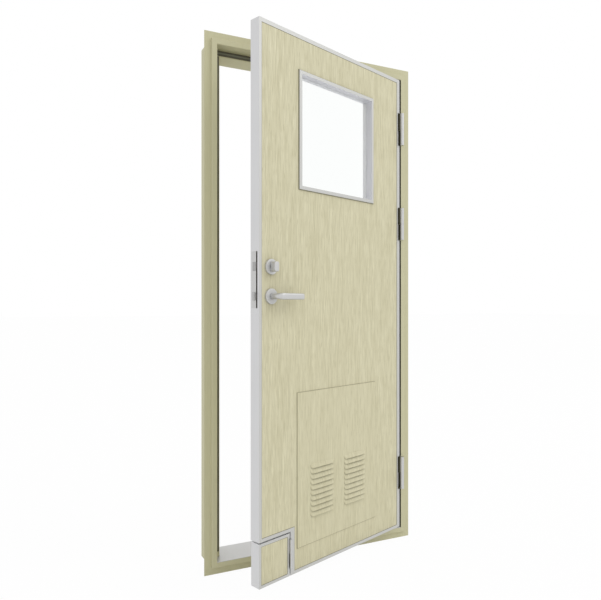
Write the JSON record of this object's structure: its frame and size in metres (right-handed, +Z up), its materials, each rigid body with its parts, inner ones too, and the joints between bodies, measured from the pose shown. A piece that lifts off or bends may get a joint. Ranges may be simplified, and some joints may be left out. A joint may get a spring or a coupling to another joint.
{
  "type": "fire door",
  "caption": "Single-leaf steel fire door in a four-sided flanged frame, with a window, lever handles, a louvred kick-out panel and a hinged hose port in the bottom corner.",
  "frame": {"origin": "middle of the frame's bottom edge, on the back face of the flange that lies against the wall", "axes": "+X along the wall towards the hinges, +Y through the wall away from the side the leaf opens to, +Z up"},
  "size_m": [0.957, 0.4641, 2.108],
  "materials": {
    "leaf_film": "fine-grained film",
    "frame_film": "satin film",
    "edge_steel": "satin",
    "fittings_steel": "brushed",
    "seal_rubber": "matte",
    "mineral_wool": "fibrous",
    "window_pane": "clear"
  },
  "bodies": {
    "frame": {"frame_head": "frame_film", "frame_lock_jamb": "frame_film", "frame_hinge_jamb": "frame_film", "frame_bottom_member": "frame_film", "sill_plate": "edge_steel", "seal_lock_side": "seal_rubber", "seal_hinge_side": "seal_rubber", "seal_head": "seal_rubber", "strike_plate": "fittings_steel", "hinge_top_frame_half": "fittings_steel", "hinge_middle_frame_half": "fittings_steel", "hinge_bottom_frame_half": "fittings_steel"},
    "leaf": {"leaf_front_sheet": "leaf_film", "leaf_back_sheet": "leaf_film", "leaf_filling": "mineral_wool", "edging_top": "edge_steel", "edging_hinge_side": "edge_steel", "edging_lock_side": "edge_steel", "edging_bottom": "edge_steel", "edging_port": "edge_steel", "window_frame_front": "edge_steel", "window_frame_back": "edge_steel", "window_glass": "window_pane", "window_gaskets": "seal_rubber", "kick_panel_front_sheet": "leaf_film", "kick_panel_back_sheet": "leaf_film", "kick_panel_filling": "mineral_wool", "lock_forend": "fittings_steel", "front_roses": "fittings_steel", "back_roses": "fittings_steel", "key_cylinder": "fittings_steel", "flap_hinge_leaf_half": "fittings_steel", "hinge_top_leaf_half": "fittings_steel", "hinge_middle_leaf_half": "fittings_steel", "hinge_bottom_leaf_half": "fittings_steel"},
    "lever": {"lever_front": "fittings_steel", "lever_back": "fittings_steel", "lever_spindle": "fittings_steel"},
    "thumb_turn": {"thumb_turn": "fittings_steel"},
    "latch": {"latch_bolt": "fittings_steel"},
    "deadbolt": {"deadbolt": "fittings_steel"},
    "hose_flap": {"flap_front_sheet": "leaf_film", "flap_back_sheet": "leaf_film", "flap_filling": "mineral_wool", "flap_edging": "edge_steel", "flap_hinge_flap_half": "fittings_steel"}
  },
  "joints": [
    {"name": "leaf_swing", "type": "hinge", "parent": "frame", "child": "leaf", "pos_m": [0.4295, -0.023, 0.054], "axis": [0, 0, 1], "range_deg": [-20, 150]},
    {"name": "lever_turn", "type": "hinge", "parent": "leaf", "child": "lever", "pos_m": [-0.32051, -0.28534, 1.077], "axis": [-0.342, 0.9397, 0], "range_deg": [0, 45], "stiffness_Nm_per_rad": 1.5, "springref_deg": -28.65},
    {"name": "thumb_turn_turn", "type": "hinge", "parent": "leaf", "child": "thumb_turn", "pos_m": [-0.32051, -0.28534, 1.182], "axis": [-0.342, 0.9397, 0], "range_deg": [0, 90]},
    {"name": "latch_slide", "type": "slide", "parent": "leaf", "child": "latch", "axis": [0.9397, 0.342, 0], "range_m": [0, 0.012]},
    {"name": "deadbolt_slide", "type": "slide", "parent": "leaf", "child": "deadbolt", "axis": [-0.9397, -0.342, 0], "range_m": [0, 0.016]},
    {"name": "hose_flap_swing", "type": "hinge", "parent": "leaf", "child": "hose_flap", "pos_m": [-0.22805, -0.25722, 0.054], "axis": [0, 0, 1], "range_deg": [0, 95], "stiffness_Nm_per_rad": 0.6, "springref_deg": -11.46}
  ],
  "couplings": [
    {"joint": "latch_slide", "follows": "lever_turn", "m_per_rad": 0.015278},
    {"joint": "deadbolt_slide", "follows": "thumb_turn_turn", "m_per_rad": 0.010185}
  ]
}
